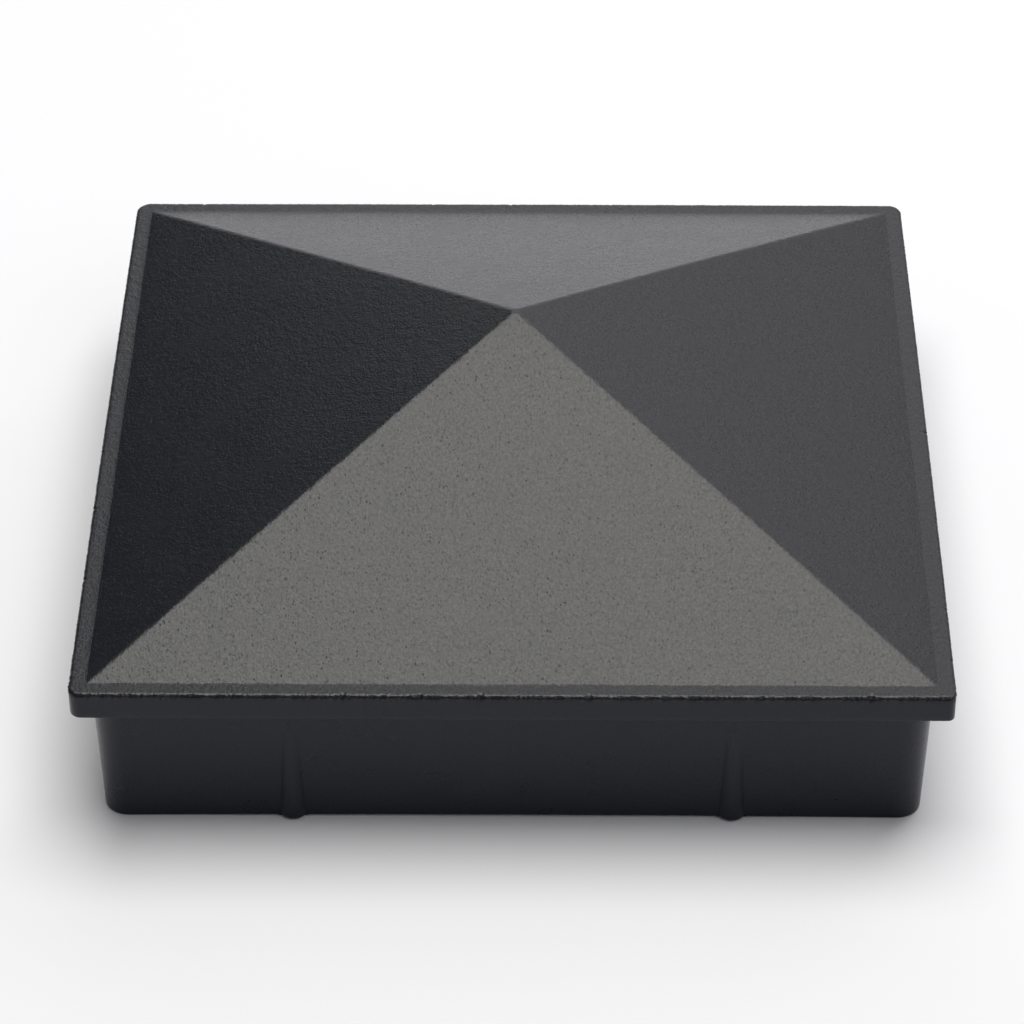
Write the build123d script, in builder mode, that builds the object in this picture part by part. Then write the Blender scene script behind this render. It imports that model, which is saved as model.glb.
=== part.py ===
"""Square pyramid post cap that plugs into the open end of a hollow fence post.

The cap is one aluminium casting.  It is modelled as its features, each a solid of its
own: the hollow pyramid roof, the rim flange that sits on the end of the post, the
drafted plug skirt that goes inside the post, and the crush ribs that grip the post.

Millimetres, +Z up.  The origin is the centre of the seat plane, the underside of the
rim flange, where the cap rests on the end of the post.
"""

from build123d import *
import os
from math import atan, cos, degrees, radians, sin

# Driving dimensions: the post
post_outer = 100.0
post_wall = 2.0

# Driving dimensions: the rim flange, as wide as the post
rim_height = 3.5
rim_corner = 1.6  # plan radius
rim_top_round = 0.5
rim_under_round = 0.15

# Driving dimensions: the pyramid roof, as wide as the post's inside
roof_rise = 17.7  # from the flat border to the top
roof_wall = 2.5  # square to a face
apex_flat = 1.0
hip_round = 1.0
join_z = 1.0  # where the roof's root meets the top of the skirt, inside the flange

# Driving dimensions: the plug skirt
fit_gap = 0.1  # on each side, between the skirt's root and the post's inside
skirt_depth = 17.0
skirt_corner = 3.5  # plan radius at the root
skirt_draft = 2.0  # degrees, the plug narrows downwards
skirt_wall = 3.0  # at the root
foot_round = 0.2

# Driving dimensions: the hollow inside
hollow_draft = 0.75  # degrees, the hollow widens downwards
hollow_corner = 1.5  # plan radius
hollow_round = 1.0  # where the walls turn into the roof's underside

# Driving dimensions: the crush ribs
rib_spacing = 50.6  # between the two ribs of a side
rib_radius = 1.6
rib_crush = 0.2  # how far a rib's foot stands outside the post's inner face
rib_clear = 2.0  # below the seat, where a rib starts, flush with the root's width

# Derived dimensions
post_inner = post_outer - 2 * post_wall
apex_z = rim_height + roof_rise
roof_slope = 2 * roof_rise / (post_inner - apex_flat)  # rise over run of a face
roof_pitch = atan(roof_slope)
skirt_root = post_inner - 2 * fit_gap
hollow_side = skirt_root - 2 * skirt_wall
hollow_apex_z = apex_z - roof_wall / cos(roof_pitch)
hollow_shoulder_z = hollow_apex_z - roof_slope * (hollow_side - apex_flat) / 2

os.makedirs("parts", exist_ok=True)


# The hollow: a drafted square well with a low pyramid at its top, open at the foot
with BuildPart() as hollow:
    with BuildSketch(Plane.XY.offset(-skirt_depth)):
        RectangleRounded(hollow_side, hollow_side, hollow_corner)
    extrude(amount=skirt_depth + hollow_shoulder_z)
    walls = faces().filter_by(Axis.Z, reverse=True)
    draft(walls, Plane.XY.offset(hollow_shoulder_z), hollow_draft)
    with BuildSketch(Plane.XY.offset(hollow_shoulder_z)):
        RectangleRounded(hollow_side, hollow_side, hollow_corner)
    with BuildSketch(Plane.XY.offset(hollow_apex_z)):
        RectangleRounded(apex_flat, apex_flat, apex_flat / 3)
    loft(ruled=True)
    shoulder = edges().filter_by_position(Axis.Z, hollow_shoulder_z, hollow_shoulder_z)
    fillet(shoulder, hollow_round)


# The roof: a hollow pyramid, with a short square root that fills the flange's top
with BuildPart() as pyramid_roof:
    with BuildSketch(Plane.XY.offset(rim_height)):
        Rectangle(post_inner, post_inner)
    extrude(amount=roof_rise, taper=90 - degrees(roof_pitch))
    hips = edges().group_by(Axis.Z)[1]
    fillet(hips, hip_round)
    with BuildSketch(Plane.XY.offset(join_z)):
        RectangleRounded(skirt_root, skirt_root, skirt_corner)
    extrude(amount=rim_height - join_z)
    add(hollow.part, mode=Mode.SUBTRACT)
pyramid_roof.part.label = "pyramid_roof"
export_step(pyramid_roof.part, "parts/pyramid_roof.step")


# The flange: a square ring around the skirt's root, flat above and below
with BuildPart() as rim_flange:
    with BuildSketch():
        RectangleRounded(post_outer, post_outer, rim_corner)
        RectangleRounded(skirt_root, skirt_root, skirt_corner, mode=Mode.SUBTRACT)
    extrude(amount=rim_height)
    fillet(faces().sort_by(Axis.Z)[-1].outer_wire().edges(), rim_top_round)
    fillet(faces().sort_by(Axis.Z)[0].outer_wire().edges(), rim_under_round)
rim_flange.part.label = "rim_flange"
export_step(rim_flange.part, "parts/rim_flange.step")


# The skirt: a square wall, drafted below the seat and straight inside the flange
with BuildPart() as plug_skirt:
    with BuildSketch(Plane.XY.offset(-skirt_depth)):
        RectangleRounded(skirt_root, skirt_root, skirt_corner)
    extrude(amount=skirt_depth)
    walls = faces().filter_by(Axis.Z, reverse=True)
    draft(walls, Plane.XY, -skirt_draft)
    fillet(faces().sort_by(Axis.Z)[0].edges(), foot_round)
    with BuildSketch():
        RectangleRounded(skirt_root, skirt_root, skirt_corner)
    extrude(amount=join_z)
    add(hollow.part, mode=Mode.SUBTRACT)
plug_skirt.part.label = "plug_skirt"
export_step(plug_skirt.part, "parts/plug_skirt.step")


# The crush ribs: half-rounds that grow out of the skirt's walls towards the foot
rib_root_reach = skirt_root / 2  # from the cap's middle
rib_foot_reach = post_inner / 2 + rib_crush
wall_lean = radians(skirt_draft)
front_wall = Plane(
    origin=(0, -skirt_root / 2, 0), z_dir=(0, -cos(wall_lean), -sin(wall_lean))
)


def make_front_rib(across):
    """A rib on the front wall, at a distance across from the middle."""
    with BuildPart() as rib:
        with BuildSketch(Plane.XY.offset(-rib_clear)):
            with Locations((across, rib_radius - rib_root_reach)):
                Circle(rib_radius)
        with BuildSketch(Plane.XY.offset(-skirt_depth)):
            with Locations((across, rib_radius - rib_foot_reach)):
                Circle(rib_radius)
        loft(ruled=True)
        split(bisect_by=front_wall, keep=Keep.TOP)
    return rib.part


side_turns = {"front": 0, "right": 90, "back": 180, "left": 270}
hand_places = {"left": -rib_spacing / 2, "right": rib_spacing / 2}
for side, turn in side_turns.items():
    for hand, across in hand_places.items():
        front_rib = make_front_rib(across)
        with BuildPart() as crush_rib:
            add(front_rib, rotation=(0, 0, turn))
        name = f"crush_rib_{side}_{hand}"
        crush_rib.part.label = name
        export_step(crush_rib.part, f"parts/{name}.step")
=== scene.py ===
"""Looks of a black powder-coated pyramid post cap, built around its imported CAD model.

Metres, in the CAD frame: +Z up, the origin in the middle of the seat plane.  The real
cap is one casting.  Each of its features is a closed skin.  The roof, the rim and the
plug are rounded square rings, laid one after another: up the outside, in over the top,
down the inside and out underneath.  A rib is outlines, one above another.
"""

import math

import bpy
import numpy as np
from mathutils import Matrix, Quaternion, Vector, noise


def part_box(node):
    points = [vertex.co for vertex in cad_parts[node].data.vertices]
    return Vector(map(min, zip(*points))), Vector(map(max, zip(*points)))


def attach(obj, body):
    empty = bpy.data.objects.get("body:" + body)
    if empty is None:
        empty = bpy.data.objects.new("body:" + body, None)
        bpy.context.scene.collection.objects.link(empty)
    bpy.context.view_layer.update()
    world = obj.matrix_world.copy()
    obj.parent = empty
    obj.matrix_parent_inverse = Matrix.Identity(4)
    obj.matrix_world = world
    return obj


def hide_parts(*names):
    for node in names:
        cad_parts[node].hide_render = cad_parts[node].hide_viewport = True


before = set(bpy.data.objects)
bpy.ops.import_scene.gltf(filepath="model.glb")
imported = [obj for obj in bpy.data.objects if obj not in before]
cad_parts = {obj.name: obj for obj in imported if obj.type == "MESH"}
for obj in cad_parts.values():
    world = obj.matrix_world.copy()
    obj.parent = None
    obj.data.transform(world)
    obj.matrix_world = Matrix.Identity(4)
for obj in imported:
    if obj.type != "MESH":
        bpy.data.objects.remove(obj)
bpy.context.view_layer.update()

MM = 0.001

# Places read from the CAD nodes
roof_low, roof_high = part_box("pyramid_roof")
rim_low, rim_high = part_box("rim_flange")
skirt_low, skirt_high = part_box("plug_skirt")
rib_low, rib_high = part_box("crush_rib_front_left")
roof_half = roof_high.x
rim_half = rim_high.x
root_half = skirt_high.x
foot_half = -rib_high.y  # a rib's back lies on the skirt's wall
border_z = rim_high.z
join_z = roof_low.z
foot_z = skirt_low.z
draft = (root_half - foot_half) / -foot_z

# Shape of the casting, as in the CAD model
apex_half = 0.5 * MM
roof_slope = (roof_high.z - border_z) / (roof_half - apex_half)
roof_wall = 2.5 * MM
skirt_wall = 3.0 * MM
hollow_widening = 0.25 * MM
hollow_corner = 1.5 * MM
hollow_round = 1.0 * MM
skirt_corner = 3.5 * MM

# Finer shape, which only the looks have
hip_radius = 0.42 * MM  # in plan
hip_build_up = 0.022 * MM  # of the coat, along the hips
apex_blunting = 0.15  # how much slope is left at the very top
face_swell = 0.14 * MM  # the faces are not quite flat
face_waves = 0.018 * MM
wall_waves = 0.02 * MM
rim_bow = 0.1 * MM  # the middle of a side stands out this far
foot_lift = 0.28 * MM  # the middle of the foot's edge is this far up
rim_corners = np.array([0.9, 1.6, 1.8, 1.4]) * MM  # from the front right one on
lip_round = 0.45 * MM
lip_groove = 0.05 * MM  # the shadow line under the lip
border_fillet = 0.2 * MM
face_set_back = 0.06 * MM
under_round = 0.12 * MM
foot_round = 0.15 * MM
rib_fade = 1.5 * MM
rib_blend = 0.12 * MM
rib_seat = 0.12 * MM  # how far a rib stands out where it starts
rib_foot_round = 0.3 * MM
nick_depth_share = 0.45  # of its half width
front_nicks = (  # place along the front edge and half width, mm
    (-23.3, 0.2),
    (-19.0, 0.25),
    (-10.3, 0.25),
    (-3.5, 0.3),
    (8.7, 0.25),
    (40.4, 0.35),
)


# ---------------------------------------------------------------- mesh tools


def square_ring(half, corners, z, spacing, corner_steps):
    """Points round a rounded square, anticlockwise from the front side's left end.

    corners is one radius for all four, or four radii from the front right one on.
    """
    turn = np.radians(np.linspace(-90, 0, corner_steps, endpoint=False))
    radii = np.broadcast_to(corners, 4)
    sides = []
    for quarter in range(4):
        start, end = radii[quarter - 1] - half, half - radii[quarter]
        along = start + (end - start) * (spacing + 1) / 2
        x = np.concatenate([along, end + radii[quarter] * np.cos(turn)])
        y = np.concatenate([np.full(len(along), -half), radii[quarter] * np.sin(turn) - end])
        side = np.column_stack([x, y, np.full(len(x), z)])
        sides.append(turned(side, quarter * math.pi / 2))
    return np.vstack(sides)


def turned(points, angle):
    """Points turned about the Z axis."""
    c, s = math.cos(angle), math.sin(angle)
    return points @ np.array([(c, s, 0), (-s, c, 0), (0, 0, 1)])


def outwards(ring_of, half, corner):
    """Unit directions that widen a ring evenly."""
    return ring_of(half + 1, corner + 1, 0) - ring_of(half, corner, 0)


def even_spacing(steps):
    """Places along a side from -1 to 1, evenly spaced."""
    return np.linspace(-1, 1, steps, endpoint=False)


def end_spacing(steps):
    """Places along a side from -1 to 1, close together at both ends."""
    return -np.cos(np.linspace(0, np.pi, steps, endpoint=False))


def loop_faces(count, rings):
    """Quads between each ring and the next, and from the last ring to the first."""
    grid = np.arange(count * rings).reshape(rings, count)
    after = np.roll(grid, -1, axis=0)
    return quads_between(grid, after)


def quads_between(lower, upper):
    """Quads between rings of point numbers, one ring to a row."""
    next_lower = np.roll(lower, -1, axis=1)
    next_upper = np.roll(upper, -1, axis=1)
    quads = np.stack([lower, next_lower, next_upper, upper], axis=-1)
    return quads.reshape(-1, 4).tolist()


def capped_faces(count, rings):
    """Quads between rings, with a fan at each end to one of two points after the rings."""
    grid = np.arange(count * rings).reshape(rings, count)
    faces = quads_between(grid[:-1], grid[1:])
    first, last = grid[0].tolist(), grid[-1].tolist()
    start, end = count * rings, count * rings + 1
    for k in range(count):
        after = (k + 1) % count
        faces.append((first[after], first[k], start))
        faces.append((last[k], last[after], end))
    return faces


def noise_at(points, size, seed=0.0):
    """Smooth noise, mostly between -1 and 1, with features of a size."""
    shift = Vector((3.1 + seed, 7.7 + 2.3 * seed, 1.9 + 0.7 * seed))
    return np.array([noise.noise(Vector(p) / size + shift) for p in points]) * 1.6


def make_object(name, points, faces, worn, grain, material):
    """A smooth-shaded object, with the wear and the coat's grain held on its points."""
    mesh = bpy.data.meshes.new(name)
    mesh.from_pydata(points.tolist(), [], faces)
    for kind, values in (("worn", worn), ("grain", grain)):
        attribute = mesh.attributes.new(kind, "FLOAT", "POINT")
        attribute.data.foreach_set("value", np.broadcast_to(values, len(points)))
    mesh.materials.append(material)
    mesh.shade_smooth()
    mesh.set_sharp_from_angle(angle=math.radians(38))
    obj = bpy.data.objects.new(name, mesh)
    bpy.context.scene.collection.objects.link(obj)
    return obj


def finish_piece(obj, node):
    """Puts a finished object in its CAD node's place."""
    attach(obj, "root")
    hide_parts(node)


def cast_relief(points):
    """Shallow unevenness of the cast faces, as a distance."""
    return noise_at(points, 9 * MM, seed=5) * face_waves


# ---------------------------------------------------------------- the roof


def roof_height(half):
    """Height of the pyramid over a ring of half a side, with its top blunted."""
    blunted = np.maximum(half, apex_half) + apex_blunting * np.minimum(half, apex_half)
    share = blunted / roof_half
    swell = 4 * face_swell * share * (1 - share)
    return roof_high.z - roof_slope * (blunted - (1 + apex_blunting) * apex_half) + swell


def hip_relief(ring):
    """Nearness to a hip, and the coat's ragged build-up there as a distance upwards."""
    inset = np.abs(np.abs(ring[:, 0]) - np.abs(ring[:, 1]))
    near = np.exp(-((inset / (0.5 * MM)) ** 2))
    ragged = noise_at(ring, 0.9 * MM, seed=2) + 0.7 * noise_at(ring, 0.45 * MM, seed=3)
    return near, near * ragged * hip_build_up


def hollow_profile():
    """Rings of the roof's underside, from near its apex down to the join."""
    lift = roof_wall * math.hypot(1, roof_slope)
    hollow_half = root_half - skirt_wall
    turn = math.pi / 2 - math.atan(roof_slope)
    reach = hollow_round * math.tan(turn / 2)
    shoulder = roof_height(hollow_half) - lift
    profile = []
    for half in np.arange(MM, hollow_half - 1.2 * MM, 1.5 * MM):
        profile.append((half, min(hollow_corner, half / 2), roof_height(half) - lift))
    for angle in np.linspace(turn, 0, 7):
        half = hollow_half - hollow_round * (1 - math.cos(angle))
        z = shoulder - reach + hollow_round * math.sin(angle)
        profile.append((half, hollow_corner, z))
    profile.append((hollow_half, hollow_corner, join_z))
    profile.append((root_half, skirt_corner, join_z))
    return profile


def make_roof(material):
    """The pyramid: down the inside, in one closed skin with the faces up to the top."""
    spacing, corner_steps, gap = end_spacing(52), 3, 0.16 * MM
    rings, worn = [], []
    for half, corner, z in hollow_profile():
        ring = square_ring(half, corner, z, spacing, corner_steps)
        ring[:, 2] += cast_relief(ring)
        rings.append(ring)
        worn.append(np.zeros(len(ring)))
    for half in np.arange(roof_half + 0.24 * MM, 0.2 * MM, -gap):
        ring = square_ring(half, min(hip_radius, half / 2), 0, spacing, corner_steps)
        ring[:, 2] = roof_height(half)
        near, ragged = hip_relief(ring)
        ring[:, 2] += ragged + cast_relief(ring)
        rings.append(ring)
        worn.append(near)
    inner_top = rings[0][0, 2]
    tips = np.array([(0, 0, inner_top), (0, 0, roof_height(0))])
    worn.append(np.zeros(2))
    points = np.vstack(rings + [tips])
    faces = capped_faces(len(rings[0]), len(rings))
    return make_object("cast_pyramid", points, faces, np.concatenate(worn), 1, material)


# ---------------------------------------------------------------- the rim


def nick_places():
    """Side, place along it and half width of each nick: made up except in front."""
    rng = np.random.default_rng(11)
    places = [(0, x * MM, width * MM) for x, width in front_nicks]
    for side in (1, 2, 3):
        for x in rng.uniform(-46, 46, 4):
            places.append((side, x * MM, rng.uniform(0.1, 0.2) * MM))
    return places


def nick_depth(ring):
    """How far the edge is knocked in at each point."""
    depth = np.zeros(len(ring))
    for side, place, width in nick_places():
        turn = side * math.pi / 2
        along = ring[:, 0] * math.cos(turn) + ring[:, 1] * math.sin(turn)
        out = ring[:, 0] * math.sin(turn) - ring[:, 1] * math.cos(turn)
        near = np.exp(-(((along - place) / width) ** 4)) * (out > roof_half)
        depth = np.maximum(depth, nick_depth_share * width * near)
    return depth


def chip_share(half, z):
    """Share of a nick's depth at a ring of the rim: most in the middle of the lip's round."""
    middle = 0.3 * lip_round
    away = math.hypot(half - rim_half + middle, z - border_z + middle)
    return math.exp(-((away / (0.45 * MM)) ** 2))


def rim_profile():
    """Half size, height and raggedness of each ring, from the seat up and over the lip."""
    face_half = rim_half - face_set_back
    lip_z = border_z - lip_round
    profile = []
    for angle in np.linspace(0, math.pi / 2, 4):
        half = face_half - under_round * (1 - math.sin(angle))
        profile.append((half, under_round * (1 - math.cos(angle)), 0.1))
    for z in np.linspace(under_round, lip_z, 6)[1:]:
        profile.append((face_half, z, 0.1))
    profile.append((face_half - lip_groove, lip_z + 0.1 * MM, 0.7))
    for angle in np.linspace(math.radians(20), math.pi / 2, 8):
        half = rim_half - lip_round * (1 - math.cos(angle))
        profile.append((half, lip_z + lip_round * math.sin(angle), math.cos(angle)))
    for half in np.linspace(rim_half - lip_round, roof_half + border_fillet, 5)[1:]:
        profile.append((half, border_z, 0))
    for share in (0.3, 0.55, 0.8, 1):
        half = roof_half + border_fillet * (1 - 2 * share)
        profile.append((half, border_z + 0.4 * roof_slope * border_fillet * share**1.5, 0))
    return profile


def side_bow(ring):
    """The rim's sides are not quite straight: they swell a little in the middle."""
    along = np.minimum(np.abs(ring[:, 0]), np.abs(ring[:, 1])) / rim_half
    return rim_bow * (1 - along**2)


def lip_teeth(ring):
    """How ragged the lip is at each point, outwards and upwards: most in front."""
    share = np.interp(ring[:, 1], (-roof_half, -roof_half + 2 * MM), (1, 0.4))
    outward = noise_at(ring * (1, 1, 0.3), 1.6 * MM, seed=7) * 0.025 * MM
    outward += noise_at(ring * (1, 1, 0.3), 0.35 * MM, seed=8) * 0.06 * MM
    upward = noise_at(ring * (1, 1, 0), 0.3 * MM, seed=13) * 0.1 * MM
    return outward * share, upward * share


def make_rim(material):
    """The flange: up its face, over the lip, in across the border and down inside."""
    spacing, corner_steps = even_spacing(840), 12
    rings, worn = [], []

    def ring_of(half, corner, z):
        return square_ring(half, corner, z, spacing, corner_steps)

    for half, z, rag in rim_profile():
        corners = np.maximum(rim_corners - (rim_half - half), 0.4 * MM)
        ring = ring_of(half, corners, z)
        outward, upward = lip_teeth(ring)
        chip = nick_depth(ring) * chip_share(half, z)
        push = outward * rag - chip + side_bow(ring)
        ring += outwards(ring_of, half, corners) * push[:, None]
        if z > under_round:
            fine = noise_at(ring, 0.8 * MM, seed=9) * 0.006 * MM
            ring[:, 2] += upward * rag - 0.7 * chip + fine
        rings.append(ring)
        worn.append(np.full(len(ring), rag))
    for z in (join_z, 0):
        rings.append(ring_of(root_half, skirt_corner, z))
        worn.append(np.zeros(len(ring)))
    points = np.vstack(rings)
    faces = loop_faces(len(rings[0]), len(rings))
    grain = np.where(points[:, 2] > border_z - lip_round, 1, 0.3)
    worn = np.concatenate(worn)
    return make_object("cast_rim", points, faces, worn, grain, material)


# ---------------------------------------------------------------- the skirt


def foot_bow(points):
    """How far up the bowed foot is: it stands on its corners, with its middle just clear."""
    depth = np.clip(points[:, 2] / foot_z, 0, 1) ** 4
    along = np.minimum(np.abs(points[:, 0]), np.abs(points[:, 1])) / foot_half
    return depth * foot_lift * (1 - along**2)


def wall_half(z):
    """Half size of the drafted wall at a height."""
    return root_half + draft * min(z, 0)


def skirt_profile():
    """Half size, corner and height of each ring: up the outside and down the inside."""
    hollow_half = root_half - skirt_wall
    widening = hollow_widening / (join_z - foot_z)
    low = wall_half(foot_z)
    profile = []
    for angle in np.linspace(0, math.pi / 2, 6):
        half = low - foot_round * (1 - math.sin(angle))
        profile.append((half, foot_z + foot_round * (1 - math.cos(angle))))
    for z in np.arange(foot_z + 2 * foot_round, 0, 0.7 * MM):
        profile.append((wall_half(z), z))
    profile += [(root_half, 0), (root_half, join_z)]
    outer = [(half, skirt_corner - (root_half - half), z) for half, z in profile]
    inner = []
    for z in np.linspace(join_z, foot_z + 0.2 * MM, 20):
        grown = widening * (join_z - z)
        inner.append((hollow_half + grown, hollow_corner + grown, z))
    half, corner, z = inner[-1]
    inner.append((half + 0.06 * MM, corner, foot_z + 0.06 * MM))
    inner.append((half + 0.2 * MM, corner, foot_z))
    return outer, inner


def wall_relief(points):
    """Shallow unevenness of the plug's outside, as a distance."""
    return noise_at(points, 11 * MM, seed=12) * wall_waves


def make_skirt(material):
    """The plug's wall: up its outside and down its inside."""
    spacing, corner_steps = even_spacing(130), 10
    rings, worn = [], []

    def ring_of(half, corner, z):
        return square_ring(half, corner, z, spacing, corner_steps)

    outer, inner = skirt_profile()
    for half, corner, z in outer:
        ring = ring_of(half, corner, z)
        ring += outwards(ring_of, half, corner) * wall_relief(ring)[:, None] * (z < 0)
        ring[:, 2] += foot_bow(ring)
        rings.append(ring)
        worn.append(np.full(len(ring), float(z < foot_z + foot_round)))
    for half, corner, z in inner:
        ring = ring_of(half, corner, z)
        ring[:, 2] += foot_bow(ring)
        rings.append(ring)
        worn.append(np.zeros(len(ring)))
    points = np.vstack(rings)
    faces = loop_faces(len(rings[0]), len(rings))
    return make_object("plug_wall", points, faces, np.concatenate(worn), 0.3, material)


# ---------------------------------------------------------------- the ribs


def smooth_top(heights, blend):
    """Heights where they are over 0, with a fillet where they meet 0."""
    close = np.maximum(blend - np.abs(heights), 0) / blend
    return np.maximum(heights, 0) + close**2 * blend / 4


def rib_section(z, across):
    """How far the rib stands out of the wall at places across it."""
    foot_stand = -rib_low.y - foot_half
    half_chord = (rib_high.x - rib_low.x) / 2
    radius = (half_chord**2 + foot_stand**2) / (2 * foot_stand)
    share = (rib_high.z - z) / (rib_high.z - foot_z)
    fade = min((rib_high.z - z) / rib_fade, 1)
    stand = (foot_stand * share + rib_seat * (1 - share)) * fade
    arc = np.sqrt(np.maximum(radius**2 - across**2, 0)) - (radius - stand)
    return smooth_top(arc, min(rib_blend, stand + 0.01 * MM)) - 0.008 * MM


def rib_level(z, across, trim):
    """Closed outline of a front rib at a height, with its back sunk in the wall."""
    wall = wall_half(z)
    out = np.maximum(rib_section(z, across) - trim, -0.008 * MM)
    back = 0.3 * MM - wall
    x = np.concatenate([across, across[[-1, 0]]])
    y = np.concatenate([-wall - out, [back, back]])
    return np.column_stack([x, y, np.full(len(x), z)])


def make_rib(node, side_turn, material):
    """One crush rib, shaped on the front side and turned to its own."""
    low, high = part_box(node)
    middle = turned(np.array([(low + high) / 2]), -side_turn)[0, 0]
    across = np.linspace(-1.75, 1.75, 41) * MM
    levels, foot_levels = [], 5
    for angle in np.linspace(0, math.pi / 2, foot_levels):
        z = foot_z + rib_foot_round * (1 - math.cos(angle))
        levels.append(rib_level(z, across, rib_foot_round * (1 - math.sin(angle))))
    for z in np.linspace(foot_z + 2 * rib_foot_round, high.z, 44):
        levels.append(rib_level(z, across, 0))
    count = len(levels[0])
    ends = [levels[0].mean(axis=0), levels[-1].mean(axis=0)]
    points = np.vstack(levels + [np.array(ends)]) + (middle, 0, 0)
    points[:, 1] -= wall_relief(turned(points, side_turn))
    points[:, 2] += foot_bow(points)
    worn = np.zeros(len(points))
    worn[: (foot_levels - 1) * count] = 1
    faces = capped_faces(count, len(levels))
    points = turned(points, side_turn)
    obj = make_object(node + "_cast", points, faces, worn, 0.3, material)
    finish_piece(obj, node)


# ---------------------------------------------------------------- materials


class Nodes:
    """Short ways to add and link the nodes of one material."""

    def __init__(self, name):
        self.material = bpy.data.materials.new(name)
        self.material.use_nodes = True
        self.tree = self.material.node_tree
        self.shader = self.tree.nodes["Principled BSDF"]
        self.place = self.add("TexCoord").outputs["Object"]
        squeezed = self.add("Mapping")
        squeezed.inputs["Scale"].default_value = (1, 0.55, 1)
        self.link(self.place, squeezed.inputs["Vector"])
        self.long_place = squeezed.outputs["Vector"]

    def add(self, kind):
        return self.tree.nodes.new("ShaderNode" + kind)

    def link(self, output, target):
        self.tree.links.new(output, target)

    def noise(self, size, detail=0.0, distortion=0.0, place=None):
        """Noise from 0 to 1 with features of a size in metres."""
        node = self.add("TexNoise")
        self.link(place or self.place, node.inputs["Vector"])
        node.inputs["Scale"].default_value = 1 / size
        node.inputs["Detail"].default_value = detail
        node.inputs["Distortion"].default_value = distortion
        return node.outputs["Fac"]

    def cells(self, size):
        """Distance to the middle of random cells, in cell sizes, and the cells' colour."""
        node = self.add("TexVoronoi")
        self.link(self.long_place, node.inputs["Vector"])
        node.inputs["Scale"].default_value = 1 / size
        return node.outputs["Distance"], node.outputs["Color"]

    def math(self, operation, first, second):
        node = self.add("Math")
        node.operation = operation
        for socket, value in zip(node.inputs, (first, second)):
            if isinstance(value, (int, float)):
                socket.default_value = value
            else:
                self.link(value, socket)
        return node.outputs["Value"]

    def remap(self, value, start, end, low, high):
        node = self.add("MapRange")
        self.link(value, node.inputs["Value"])
        for name, number in (
            ("From Min", start),
            ("From Max", end),
            ("To Min", low),
            ("To Max", high),
        ):
            node.inputs[name].default_value = number
        return node.outputs["Result"]

    def blend_colours(self, factor, first, second):
        node = self.add("Mix")
        node.data_type = "RGBA"
        self.link(factor, node.inputs["Factor"])
        for socket, colour in ((node.inputs[6], first), (node.inputs[7], second)):
            if isinstance(colour, tuple):
                socket.default_value = (*colour, 1)
            else:
                self.link(colour, socket)
        return node.outputs[2]

    def attribute(self, name):
        node = self.add("Attribute")
        node.attribute_name = name
        return node.outputs["Fac"]


def pinholes(nodes, size, radius):
    """Share of a pinhole at each place, in some of a set of random cells: 0 to 1."""
    distance, colour = nodes.cells(size)
    split = nodes.add("SeparateColor")
    nodes.link(colour, split.inputs["Color"])
    dimple = nodes.remap(distance, 0.2 * radius, radius, 1, 0)
    chance = nodes.remap(split.outputs["Red"], 0.4, 1, 0, 1)
    return nodes.math("MULTIPLY", dimple, chance)


def coat_pits(nodes):
    """Share of a pit in the coat at each place, 0 to 1: few wide ones, more on the left."""
    wide = nodes.math("MAXIMUM", pinholes(nodes, 0.9 * MM, 0.18), pinholes(nodes, 0.5 * MM, 0.25))
    fine = nodes.math("MULTIPLY", pinholes(nodes, 0.28 * MM, 0.45), 0.6)
    split = nodes.add("SeparateXYZ")
    nodes.link(nodes.place, split.inputs["Vector"])
    share = nodes.remap(split.outputs["X"], -40 * MM, 40 * MM, 1, 0.65)
    pits = nodes.math("MULTIPLY", nodes.math("MAXIMUM", wide, fine), share)
    return nodes.math("MULTIPLY", pits, nodes.attribute("grain"))


def coat_bump(nodes, pits):
    """Orange peel over the ripples of the casting, with pits and a few dust nibs."""
    peel = nodes.remap(nodes.noise(0.3 * MM, 2.0), 0, 1, -0.025, 0.025)
    ripple = nodes.remap(nodes.noise(0.9 * MM, 0.5, 0.3), 0, 1, -0.016, 0.016)
    nibs = nodes.math("MULTIPLY", pinholes(nodes, 4 * MM, 0.03), 0.03)
    height = nodes.math("ADD", nodes.math("ADD", peel, ripple), nibs)
    height = nodes.math("MULTIPLY", height, nodes.attribute("grain"))
    height = nodes.math("ADD", height, nodes.math("MULTIPLY", pits, -0.026))
    bump = nodes.add("Bump")
    bump.inputs["Distance"].default_value = MM
    nodes.link(height, bump.inputs["Height"])
    return bump.outputs["Normal"]


def coat_shine_and_pit_shade(nodes, pits, speckle):
    """Specular level: lower on the smooth faces, lower in pits as painted shade of their hollows,
    with a fine speckle.
    """
    grain = nodes.attribute("grain")
    shine = nodes.remap(grain, 0.3, 1, 0.38, 0.5)
    # painted shade: the specular level drops in the pits, standing in for the shade in their
    # hollows
    shine = nodes.math("SUBTRACT", shine, nodes.math("MULTIPLY", pits, 0.16))
    fine = nodes.noise(0.25 * MM, 1.0, place=nodes.long_place)
    fine = nodes.remap(fine, 0, 1, -speckle, speckle)
    return nodes.math("ADD", shine, nodes.math("MULTIPLY", fine, grain))


def coat_roughness(nodes, pits, patchy, rubbed, roughness):
    """Roughness: patchy by a little, higher where the coat is rubbed and in pits."""
    rough = nodes.remap(patchy, 0.2, 0.8, roughness - 0.015, roughness + 0.015)
    rough = nodes.math("ADD", rough, nodes.math("MULTIPLY", rubbed, 0.08))
    return nodes.math("ADD", rough, nodes.math("MULTIPLY", pits, 0.25))


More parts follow.
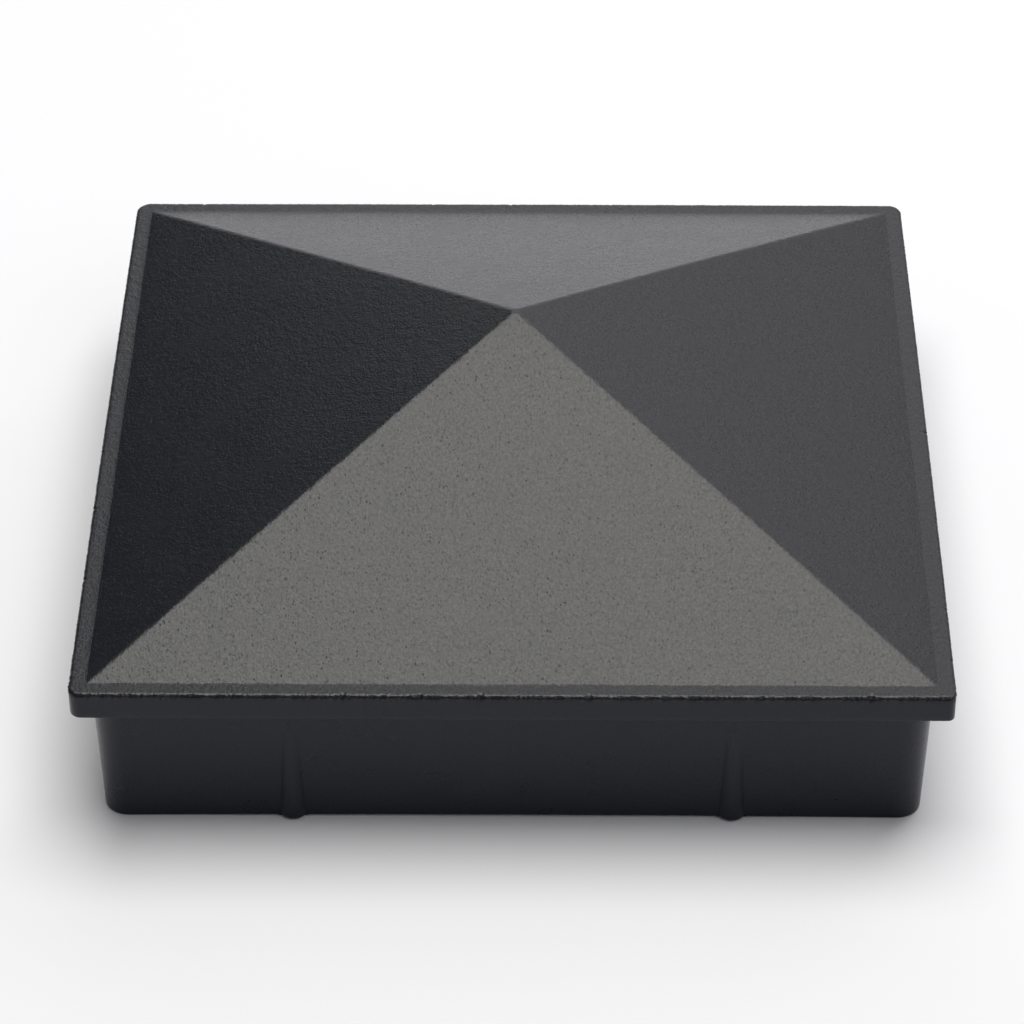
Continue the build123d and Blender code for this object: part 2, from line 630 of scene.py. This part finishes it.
def coat_colour(nodes, patchy, rubbed):
    """Near black: paler where the coat is thin or rubbed, bluer on the smooth faces."""
    grain = nodes.attribute("grain")
    thick = nodes.blend_colours(grain, (0.0085, 0.0108, 0.0195), (0.0080, 0.0088, 0.0122))
    thin = nodes.blend_colours(grain, (0.0115, 0.0138, 0.0225), (0.0115, 0.0123, 0.0158))
    tone = nodes.math("ADD", nodes.math("MULTIPLY", rubbed, 0.5), patchy)
    return nodes.blend_colours(tone, thick, thin)


def powder_coat(name, roughness, speckle):
    """Black satin powder coat."""
    nodes = Nodes(name)
    inputs = nodes.shader.inputs
    pits = coat_pits(nodes)
    patchy = nodes.noise(6 * MM, 2.0)
    rubbed = nodes.math("MULTIPLY", nodes.attribute("worn"), nodes.noise(0.7 * MM, 2.0))
    inputs["IOR"].default_value = 1.4
    nodes.link(coat_bump(nodes, pits), inputs["Normal"])
    nodes.link(coat_shine_and_pit_shade(nodes, pits, speckle), inputs["Specular IOR Level"])
    nodes.link(coat_roughness(nodes, pits, patchy, rubbed, roughness), inputs["Roughness"])
    nodes.link(coat_colour(nodes, patchy, rubbed), inputs["Base Color"])
    return nodes.material


def floor_paper():
    """Matt white paper with a faint unevenness."""
    nodes = Nodes("floor_paper")
    tone = nodes.noise(0.2, 2.0)
    colour = nodes.blend_colours(tone, (0.81, 0.82, 0.86), (0.83, 0.84, 0.88))
    nodes.link(colour, nodes.shader.inputs["Base Color"])
    nodes.shader.inputs["Roughness"].default_value = 0.9
    return nodes.material


# ---------------------------------------------------------------- the studio


def make_floor():
    """A wide sheet of pale paper under the cap."""
    mesh = bpy.data.meshes.new("floor")
    corners = [(-4, -4, foot_z), (4, -4, foot_z), (4, 4, foot_z), (-4, 4, foot_z)]
    mesh.from_pydata(corners, [], [(0, 1, 2, 3)])
    mesh.materials.append(floor_paper())
    obj = bpy.data.objects.new("floor", mesh)
    bpy.context.scene.collection.objects.link(obj)


def add_panel(name, azimuth, elevation, distance, width, height, radiance, colour):
    """A soft light panel that faces the cap.  Azimuth 0 is behind it, 90 on its right."""
    a, e = math.radians(azimuth), math.radians(elevation)
    way = Vector((math.sin(a) * math.cos(e), math.cos(a) * math.cos(e), math.sin(e)))
    light = bpy.data.lights.new(name, "AREA")
    light.shape = "RECTANGLE"
    light.size, light.size_y = width, height
    light.energy = radiance * math.pi * width * height
    light.color = colour
    obj = bpy.data.objects.new(name, light)
    obj.location = way * distance
    obj.rotation_euler = way.to_track_quat("Z", "Y").to_euler()
    obj.visible_camera = False
    bpy.context.scene.collection.objects.link(obj)


def add_lights():
    """One strong panel overhead, three behind the cap and two in front."""
    add_panel("overhead", 15, 81, 0.9, 0.74, 0.74, 5.55, (1, 0.98, 0.94))
    add_panel("back_right", 21, 36, 1.6, 1.45, 0.9, 1.42, (1, 1, 1))
    add_panel("back_left", -12, 22, 1.6, 0.7, 0.5, 0.88, (0.97, 0.99, 1))
    add_panel("back_low", 10, 6, 2.0, 1.8, 0.45, 0.87, (1, 0.955, 0.985))
    add_panel("front_right", 140, 40, 1.6, 1.4, 0.9, 1.0, (1, 1, 1))
    add_panel("front_left", 225, 40, 1.6, 1.4, 0.9, 0.2, (1, 1, 1))
    world = bpy.data.worlds.new("studio")
    world.use_nodes = True
    world.node_tree.nodes["Background"].inputs["Color"].default_value = (1, 1, 1, 1)
    world.node_tree.nodes["Background"].inputs["Strength"].default_value = 0.03
    bpy.context.scene.world = world


def add_camera():
    """A long lens from the front, well above the cap."""
    azimuth, elevation, roll = (math.radians(d) for d in (0.65, 37.69, -0.2))
    aim, distance = Vector((-0.27, -16.22, 3.54)), 492.8  # mm
    camera = bpy.data.cameras.new("camera")
    camera.lens = 146.1
    camera.clip_start = 0.01
    obj = bpy.data.objects.new("camera", camera)
    flat = math.cos(elevation)
    back = Vector((math.sin(azimuth) * flat, -math.cos(azimuth) * flat, math.sin(elevation)))
    obj.location = aim * MM + back * distance * MM
    obj.rotation_mode = "QUATERNION"
    tilt = Quaternion((0, 0, 1), roll)
    obj.rotation_quaternion = (-back).to_track_quat("-Z", "Y") @ tilt
    bpy.context.scene.collection.objects.link(obj)
    bpy.context.scene.camera = obj
    bpy.context.scene.view_settings.view_transform = "Standard"


# ---------------------------------------------------------------- the whole cap

cast_coat = powder_coat("coat_on_cast_face", 0.27, 0.18)
smooth_coat = powder_coat("coat_on_smooth_face", 0.28, 0.3)

finish_piece(make_roof(cast_coat), "pyramid_roof")
finish_piece(make_rim(smooth_coat), "rim_flange")
finish_piece(make_skirt(smooth_coat), "plug_skirt")
for quarter, side in enumerate(("front", "right", "back", "left")):
    for hand in ("left", "right"):
        make_rib(f"crush_rib_{side}_{hand}", quarter * math.pi / 2, smooth_coat)

make_floor()
add_lights()
add_camera()
